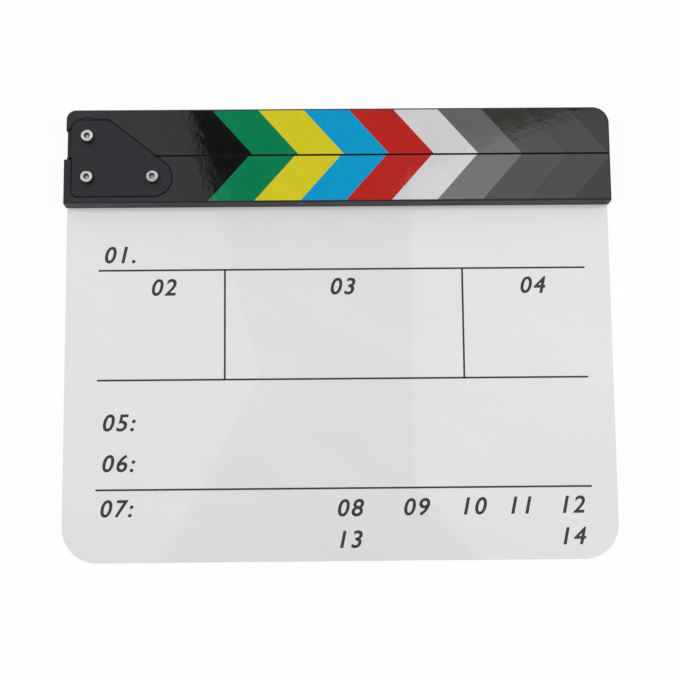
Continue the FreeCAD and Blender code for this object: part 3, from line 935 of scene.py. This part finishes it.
@dataclass
class SlateBoard:
    """White board with printed rules and field numbers, and the screws that hold it from behind."""

    shelf: EffectShelf
    ink_depth: float = 0.05 * MM
    ink_sunk: float = 0.01 * MM
    rule_width: float = 1.0 * MM
    rule_span: Span = (-131.3 * MM, 135.3 * MM)
    rule_rows: Sequence[float] = (35.45 * MM, -25.3 * MM, -84.7 * MM)
    post_columns: Sequence[float] = (-62.35 * MM, 68.1 * MM)
    round_steps: int = 6
    curve_steps: int = 6
    cap_height: float = 9.0 * MM
    cap_share: float = 0.70
    slant: float = 0.21
    embolden: float = 0.21 * MM
    letter_space: float = 1.18
    draft_scale: float = 0.04
    cross_reach: float = 1.6 * MM
    numerals: Sequence[Numeral] = (
        Numeral("01.", (-128.3 * MM, 39.8 * MM)),
        Numeral("02", (-95.6 * MM, 21.5 * MM), True),
        Numeral("03", (2.5 * MM, 21.5 * MM), True),
        Numeral("04", (107.0 * MM, 21.5 * MM), True),
        Numeral("05:", (-128.2 * MM, -52.8 * MM)),
        Numeral("06:", (-128.2 * MM, -74.8 * MM)),
        Numeral("07:", (-128.9 * MM, -99.0 * MM)),
        Numeral("08", (5.6 * MM, -99.6 * MM), True),
        Numeral("09", (41.2 * MM, -99.4 * MM), True),
        Numeral("10", (72.5 * MM, -99.2 * MM), True),
        Numeral("11", (97.3 * MM, -99.0 * MM), True),
        Numeral("12", (125.6 * MM, -98.8 * MM), True),
        Numeral("13", (5.6 * MM, -116.4 * MM), True),
        Numeral("14", (125.6 * MM, -115.6 * MM), True),
    )

    def build(self, nodes: Mapping[str, bpy.types.Object]) -> None:
        """Dresses the board and its screws, and prints on it.

        Args:
            nodes: The CAD nodes.
        """
        dress(nodes["slate_board"], BOARD_FINISH, self.shelf)
        for name in sorted(key for key in nodes if key.startswith("board_screw")):
            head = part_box(name)[0].z
            finish = steel(f"steel_{name}", centre_of(name), head, self.cross_reach, Facing.BACK)
            dress(nodes[name], finish, self.shelf)
        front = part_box("slate_board")[1].z
        self.print_rules(front)
        self.print_numerals(front)

    def print_rules(self, front: float) -> None:
        """Prints the rules that divide the board.

        Args:
            front: Height of the board's front face.
        """
        mesh = bmesh.new()
        for row in self.rule_rows:
            self.add_rule(mesh, (self.rule_span[0], row), (self.rule_span[1], row), front)
        for column in self.post_columns:
            self.add_rule(mesh, (column, self.rule_rows[1]), (column, self.rule_rows[0]), front)
        made = bpy.data.meshes.new("field_rules")
        mesh.to_mesh(made)
        mesh.free()
        made.materials.append(INK_FINISH.material(self.shelf))
        link_piece("field_rules", made, Body.SLATE)

    def add_rule(self, mesh: bmesh.types.BMesh, start: Point, end: Point, front: float) -> None:
        """Adds one rule with round ends to a mesh.

        Args:
            mesh: The mesh.
            start: One end of its middle line.
            end: Its other end.
            front: Height of the board's front face.
        """
        first, last = Vector(start), Vector(end)
        along = (last - first).normalized()
        heading = math.atan2(along.y, along.x)
        rim: list[Vector] = []
        for middle, begin in ((last, -math.pi / 2), (first, math.pi / 2)):
            for step in range(self.round_steps + 1):
                angle = heading + begin + math.pi * step / self.round_steps
                rim.append(middle + Vector((math.cos(angle), math.sin(angle))) * self.rule_width / 2)
        low, high = front - self.ink_sunk, front + self.ink_depth
        under = [mesh.verts.new((*point, low)) for point in rim]
        over = [mesh.verts.new((*point, high)) for point in rim]
        mesh.faces.new(over)
        mesh.faces.new(list(reversed(under)))
        for index in range(len(rim)):
            after = (index + 1) % len(rim)
            mesh.faces.new((under[index], under[after], over[after], over[index]))

    def print_numerals(self, front: float) -> None:
        """Prints a number in each field of the board.

        Args:
            front: Height of the board's front face.
        """
        for order, numeral in enumerate(self.numerals, 1):
            mesh = self.numeral_mesh(numeral, front)
            mesh.materials.append(INK_FINISH.material(self.shelf))
            link_piece(f"field_number_{order:02d}", mesh, Body.SLATE)

    def numeral_mesh(self, numeral: Numeral, front: float) -> bpy.types.Mesh:
        """Makes the raised ink of one number.

        The outline is drafted small, where Blender joins points that lie very close. At full size the two
        points at the top of a 4's counter would stay apart, and cross when the strokes are thickened.

        Args:
            numeral: The number and its place.
            front: Height of the board's front face.

        Returns:
            The mesh, in the frame of the part.
        """
        curve = bpy.data.curves.new("numeral_outline", "FONT")
        curve.body = numeral.text
        curve.size = self.cap_height / self.cap_share * self.draft_scale
        curve.shear = self.slant
        curve.offset = self.embolden * self.draft_scale
        curve.space_character = self.letter_space
        curve.extrude = (self.ink_depth + self.ink_sunk) / 2 * self.draft_scale
        curve.resolution_u = self.curve_steps
        draft = bpy.data.objects.new("numeral_draft", curve)
        bpy.context.scene.collection.objects.link(draft)
        graph = bpy.context.evaluated_depsgraph_get()
        mesh = bpy.data.meshes.new_from_object(draft.evaluated_get(graph))
        bpy.data.objects.remove(draft)
        bpy.data.curves.remove(curve)
        mesh.transform(Matrix.Scale(1.0 / self.draft_scale, 4))
        across = [vertex.co.x for vertex in mesh.vertices]
        start = (min(across) + max(across)) / 2 if numeral.centred else min(across)
        middle = front + (self.ink_depth - self.ink_sunk) / 2
        mesh.transform(Matrix.Translation((numeral.place[0] - start, numeral.place[1], middle)))
        mesh.materials.clear()
        return mesh


@dataclass(frozen=True)
class BarLayout:
    """Where the lines between the bars of one film start and how far apart they lie.

    The first two sizes hold along the seam, and the next two at the outer edge, which lies beyond the seam
    by the reach, upwards or downwards. Each bar is narrower than the one before by twice the taper.
    """

    seam_start: float
    seam_pitch: float
    outer_start: float
    outer_pitch: float
    reach: float
    taper: float
    seam: float = SEAM

    def line(self, index: int) -> tuple[Vector, Vector]:
        """Line between two bars.

        Args:
            index: Which line, from the left.

        Returns:
            Its end at the seam and its end at the outer edge of the film.
        """
        lost = index * index * self.taper
        inner = Vector((self.seam_start + index * self.seam_pitch - lost, self.seam))
        outer = Vector((self.outer_start + index * self.outer_pitch - lost, self.seam + self.reach))
        return inner, outer


@dataclass
class ClapSticks:
    """The two hinged sticks and the films printed with slanted bars."""

    shelf: EffectShelf
    lower: BarLayout = BarLayout(-48.3 * MM, 25.28 * MM, -70.65 * MM, 25.33 * MM, -25.2 * MM, 0.047 * MM)
    upper: BarLayout = BarLayout(-46.2 * MM, 25.35 * MM, -68.45 * MM, 25.40 * MM, 25.2 * MM, 0.116 * MM)
    weld: float = 1.0e-6
    flat_angle: float = math.radians(0.5)

    def build(self, nodes: Mapping[str, bpy.types.Object]) -> None:
        """Dresses the sticks and lays the printed films on them.

        Args:
            nodes: The CAD nodes.
        """
        for name in ("lower_stick", "upper_stick"):
            dress(nodes[name], STICK_FINISH, self.shelf)
        self.lay_film("lower_bars", nodes["lower_film"], Body.SLATE, self.lower)
        self.lay_film("upper_bars", nodes["upper_film"], Body.CLAP_STICK, self.upper)

    def lay_film(self, name: str, node: bpy.types.Object, body: Body, layout: BarLayout) -> None:
        """Cuts the film of the CAD part along its bars and prints each bar.

        Args:
            name: Name of the piece.
            node: CAD node of the film.
            body: Body that it moves with.
            layout: Where its bars lie.
        """
        mesh = bmesh.new()
        mesh.from_mesh(node.data)
        bmesh.ops.remove_doubles(mesh, verts=mesh.verts[:], dist=self.weld)
        bmesh.ops.dissolve_limit(
            mesh, angle_limit=self.flat_angle, verts=mesh.verts[:], edges=mesh.edges[:]
        )
        lines = [layout.line(index) for index in range(len(Bar) - 1)]
        for inner, outer in lines:
            along = outer - inner
            bmesh.ops.bisect_plane(
                mesh,
                geom=mesh.verts[:] + mesh.edges[:] + mesh.faces[:],
                plane_co=(*inner, 0.0),
                plane_no=(along.y, -along.x, 0.0),
                dist=self.weld,
            )
        for face in mesh.faces:
            face.material_index = self.bar_of(face.calc_center_median(), lines)
            face.smooth = False
        made = bpy.data.meshes.new(name)
        mesh.to_mesh(made)
        mesh.free()
        for bar in Bar:
            made.materials.append(film(bar).material(self.shelf))
        piece = link_piece(name, made, body)
        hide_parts(node.name)

    @staticmethod
    def bar_of(point: Vector, lines: Sequence[tuple[Vector, Vector]]) -> int:
        """Which bar a point lies in.

        Args:
            point: The point.
            lines: The lines between the bars, from the left.

        Returns:
            The bar's place from the left, from 0.
        """
        passed = 0
        for inner, outer in lines:
            share = (point.y - inner.y) / (outer.y - inner.y)
            if point.x > inner.x + (outer.x - inner.x) * share:
                passed += 1
        return passed


@dataclass
class HingeSet:
    """Hinge plate with its screws, threaded inserts, bush and washers."""

    shelf: EffectShelf
    screws: Sequence[str] = ("pivot_screw", "fixing_screw_left", "fixing_screw_right")
    brasses: Sequence[str] = ("fixing_insert_left", "fixing_insert_right", "pivot_insert", "pivot_bush")
    washers: Sequence[str] = ("friction_washer_rear", "friction_washer_front")
    socket_reach: float = 1.9 * MM
    knurl_reach: float = 3.0 * MM

    def build(self, nodes: Mapping[str, bpy.types.Object]) -> None:
        """Dresses the pieces of the hinge.

        Args:
            nodes: The CAD nodes.
        """
        dress(nodes["hinge_plate"], PLATE_FINISH, self.shelf)
        for name in self.screws:
            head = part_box(name)[1].z
            place = centre_of(name)
            finish = steel(f"steel_{name}", place, head, self.socket_reach, Facing.FRONT, self.knurl_reach)
            dress(nodes[name], finish, self.shelf)
        for name in self.brasses:
            dress(nodes[name], brass(f"brass_{name}", centre_of(name)), self.shelf)
        for name in self.washers:
            dress(nodes[name], NYLON_FINISH, self.shelf)


@dataclass
class SeamMagnets:
    """Magnets that hold the sticks shut."""

    shelf: EffectShelf
    magnets: Sequence[str] = ("lower_magnet", "upper_magnet")

    def build(self, nodes: Mapping[str, bpy.types.Object]) -> None:
        """Dresses the magnets.

        Args:
            nodes: The CAD nodes.
        """
        for name in self.magnets:
            dress(nodes[name], nickel(f"nickel_{name}", centre_of(name)), self.shelf)


@dataclass
class Studio:
    """Camera, pale floor, soft lamps and a white surround with a dim gap overhead.

    The gap is drawn on a ceiling one unit up: its sizes are how far a direction goes right, or on past the
    sticks, for each unit that it rises.
    """

    focal_pixels: float = 1500.0
    sensor: float = 36.0
    clip_start: float = 0.01
    eye: Triple = (-8.51 * MM, -124.47 * MM, 813.63 * MM)
    tilt: float = -8.451
    yaw: float = 0.639
    roll: float = 0.553
    floor_side: float = 8.0
    floor_drop: float = 0.2 * MM
    floor_colour: Colour = (0.92, 0.92, 0.92)
    floor_glow: float = 0.93
    fill: float = 0.37
    left_glow: Colour = (0.83, 0.83, 0.91)
    right_glow: Colour = (1.19, 1.19, 1.27)
    glow_turn: Span = (-0.1, 0.1)
    lowest_rise: float = 0.05
    gap_glow: float = 0.03
    gap_left: float = -0.043
    gap_waist: float = 0.125
    gap_flare: Span = (0.52, 0.258)
    gap_reach: Span = (-0.05, 0.35)
    gap_right: float = 0.060
    gap_turn: Span = (0.050, 0.262)
    gap_slope: Span = (0.85, 2.45)
    gap_soft: float = 0.003
    gap_front: Span = (-0.25, -0.12)
    gap_back: Span = (0.42, 0.55)
    front_fade: Span = (-0.25, -0.90)
    front_share: float = 0.45
    box_offset: float = 0.55
    box_row: float = 0.05
    box_height: float = 0.70
    box_size: Span = (0.40, 0.30)
    box_power: float = 3.13

    def build(self) -> None:
        """Sets up the camera, the floor and the light."""
        scene = bpy.context.scene
        scene.view_settings.view_transform = "Standard"
        scene.camera = self.make_camera()
        self.make_floor()
        for name, side in (("left_softbox", -1.0), ("right_softbox", 1.0)):
            self.make_softbox(name, side)
        scene.world = self.make_world()
        LOG.info("studio ready")

    def make_camera(self) -> bpy.types.Object:
        """Sets the camera at the photograph's viewing angle.

        Returns:
            The camera.
        """
        data = bpy.data.cameras.new("studio_camera")
        data.sensor_width = self.sensor
        data.lens = self.sensor * self.focal_pixels / IMAGE_SIDE
        data.clip_start = self.clip_start
        camera = bpy.data.objects.new("studio_camera", data)
        bpy.context.scene.collection.objects.link(camera)
        turn = Matrix.Rotation(math.radians(-self.yaw), 4, "Y")
        turn = turn @ Matrix.Rotation(math.radians(-self.tilt), 4, "X")
        turn = turn @ Matrix.Rotation(math.radians(-self.roll), 4, "Z")
        camera.matrix_world = Matrix.Translation(self.eye) @ turn
        return camera

    def make_floor(self) -> None:
        """Lays the pale floor just under the part."""
        mesh = bmesh.new()
        bmesh.ops.create_grid(mesh, x_segments=1, y_segments=1, size=self.floor_side / 2)
        bmesh.ops.translate(mesh, verts=mesh.verts[:], vec=(0.0, 0.0, -self.floor_drop))
        made = bpy.data.meshes.new("studio_floor")
        mesh.to_mesh(made)
        mesh.free()
        made.materials.append(self.floor_material())
        floor = bpy.data.objects.new("studio_floor", made)
        bpy.context.scene.collection.objects.link(floor)

    def floor_material(self) -> bpy.types.Material:
        """Makes the floor read white to the eye and in reflections, and keep the part's shadow.

        Returns:
            The material.
        """
        made = bpy.data.materials.new("pale_floor")
        made.use_nodes = True
        made.cycles.emission_sampling = "NONE"
        sheet = Sheet(made.node_tree)
        seen = sheet.sum("MAXIMUM", *self.rays(sheet))
        share = sheet.sum("MULTIPLY", seen, self.floor_glow)
        matt = sheet.add("ShaderNodeBsdfDiffuse", {"Color": opaque(self.floor_colour)})
        glow = sheet.add("ShaderNodeEmission", {"Color": opaque(PURE_WHITE), "Strength": 1.0})
        both = sheet.add("ShaderNodeMixShader", {0: share, 1: matt.outputs[0], 2: glow.outputs[0]})
        sheet.add("ShaderNodeOutputMaterial", {"Surface": both.outputs[0]})
        return made

    @staticmethod
    def rays(sheet: Sheet) -> tuple[bpy.types.NodeSocket, bpy.types.NodeSocket]:
        """Tells what sees the floor or the surround, and not what they light.

        Args:
            sheet: The sheet of the floor or the world.

        Returns:
            1 where the camera looks straight at it, and 1 where it is seen mirrored or through glass.
        """
        path = sheet.add("ShaderNodeLightPath").outputs
        mirrored = sheet.sum("MAXIMUM", path["Is Glossy Ray"], path["Is Transmission Ray"])
        return path["Is Camera Ray"], mirrored

    def make_softbox(self, name: str, side: float) -> None:
        """Hangs a soft lamp to one side, above the part. The surround stands for it in reflections.

        Args:
            name: Name of the lamp.
            side: 1 on the right, -1 on the left.
        """
        data = bpy.data.lights.new(name, "AREA")
        data.shape = "RECTANGLE"
        data.size, data.size_y = self.box_size
        data.energy = self.box_power
        lamp = bpy.data.objects.new(name, data)
        place = Vector((side * self.box_offset, self.box_row, self.box_height))
        lamp.location = place
        lamp.rotation_euler = (-place).to_track_quat("-Z", "Y").to_euler()
        lamp.visible_glossy = False
        bpy.context.scene.collection.objects.link(lamp)

    def make_world(self) -> bpy.types.World:
        """Makes the white surround.

        Returns:
            The world.
        """
        world = bpy.data.worlds.new("studio_surround")
        world.use_nodes = True
        sheet = Sheet(world.node_tree)
        heading = sheet.add("ShaderNodeTexCoord").outputs["Generated"]
        way = sheet.add("ShaderNodeSeparateXYZ", {0: heading}).outputs
        rise = sheet.sum("MAXIMUM", way["Z"], self.lowest_rise)
        across = sheet.sum("DIVIDE", way["X"], rise)
        along = sheet.sum("DIVIDE", way["Y"], rise)
        glow = sheet.mix(sheet.ramp(across, self.glow_turn), self.left_glow, self.right_glow)
        share = sheet.ramp(along, self.front_fade, (1.0, self.front_share))
        sides = sheet.add("ShaderNodeVectorMath", {0: glow, "Scale": share}, operation="SCALE").outputs[0]
        shown = sheet.mix(self.gap(sheet, across, along), sides, (self.gap_glow,) * 3)
        direct, mirrored = self.rays(sheet)
        light = sheet.mix(mirrored, (self.fill,) * 3, shown)
        final = sheet.mix(direct, light, PURE_WHITE)
        ground = sheet.add("ShaderNodeBackground", {"Color": final, "Strength": 1.0})
        sheet.add("ShaderNodeOutputWorld", {"Surface": ground.outputs[0]})
        return world

    def gap(
        self, sheet: Sheet, across: bpy.types.NodeSocket, along: bpy.types.NodeSocket
    ) -> bpy.types.NodeSocket:
        """Draws the dim gap overhead: a waist that flares towards both ends.

        Args:
            sheet: The world's sheet.
            across: How far a direction goes right for each unit that it rises.
            along: How far it goes on past the sticks for each unit that it rises.

        Returns:
            The mask of the gap.
        """
        soft: Span = (-self.gap_soft, self.gap_soft)
        held = sheet.ramp(along, self.gap_reach, self.gap_reach, smooth=False)
        lean = sheet.sum("SUBTRACT", held, self.gap_waist)
        flare = sheet.sum(
            "MAXIMUM",
            sheet.sum("MULTIPLY", lean, -self.gap_flare[0]),
            sheet.sum("MULTIPLY", lean, self.gap_flare[1]),
        )
        left = sheet.sum("SUBTRACT", self.gap_left, flare)
        past_left = sheet.ramp(sheet.sum("SUBTRACT", across, left), soft)
        low = sheet.sum("MULTIPLY", sheet.sum("SUBTRACT", self.gap_turn[0], held), self.gap_slope[0])
        high = sheet.sum("MULTIPLY", sheet.sum("SUBTRACT", held, self.gap_turn[1]), self.gap_slope[1])
        spread = sheet.sum("MAXIMUM", sheet.sum("MAXIMUM", low, high), 0.0)
        right = sheet.sum("ADD", spread, self.gap_right)
        past_right = sheet.ramp(sheet.sum("SUBTRACT", across, right), soft, FALL)
        front, back = sheet.ramp(along, self.gap_front), sheet.ramp(along, self.gap_back, FALL)
        ends = sheet.sum("MULTIPLY", front, back)
        return sheet.sum("MULTIPLY", sheet.sum("MULTIPLY", past_left, past_right), ends)


def main() -> None:
    """Loads the frame, sets up the studio and dresses each sub-assembly in turn."""
    logging.basicConfig(level=logging.INFO, format="%(name)s: %(message)s")
    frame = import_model()
    nodes = frame["nodes"]
    shelf = EffectShelf()
    Studio().build()
    for assembly in (SlateBoard(shelf), ClapSticks(shelf), HingeSet(shelf), SeamMagnets(shelf)):
        assembly.build(nodes)
        LOG.info("%s done", type(assembly).__name__)


if __name__ == "__main__":
    main()
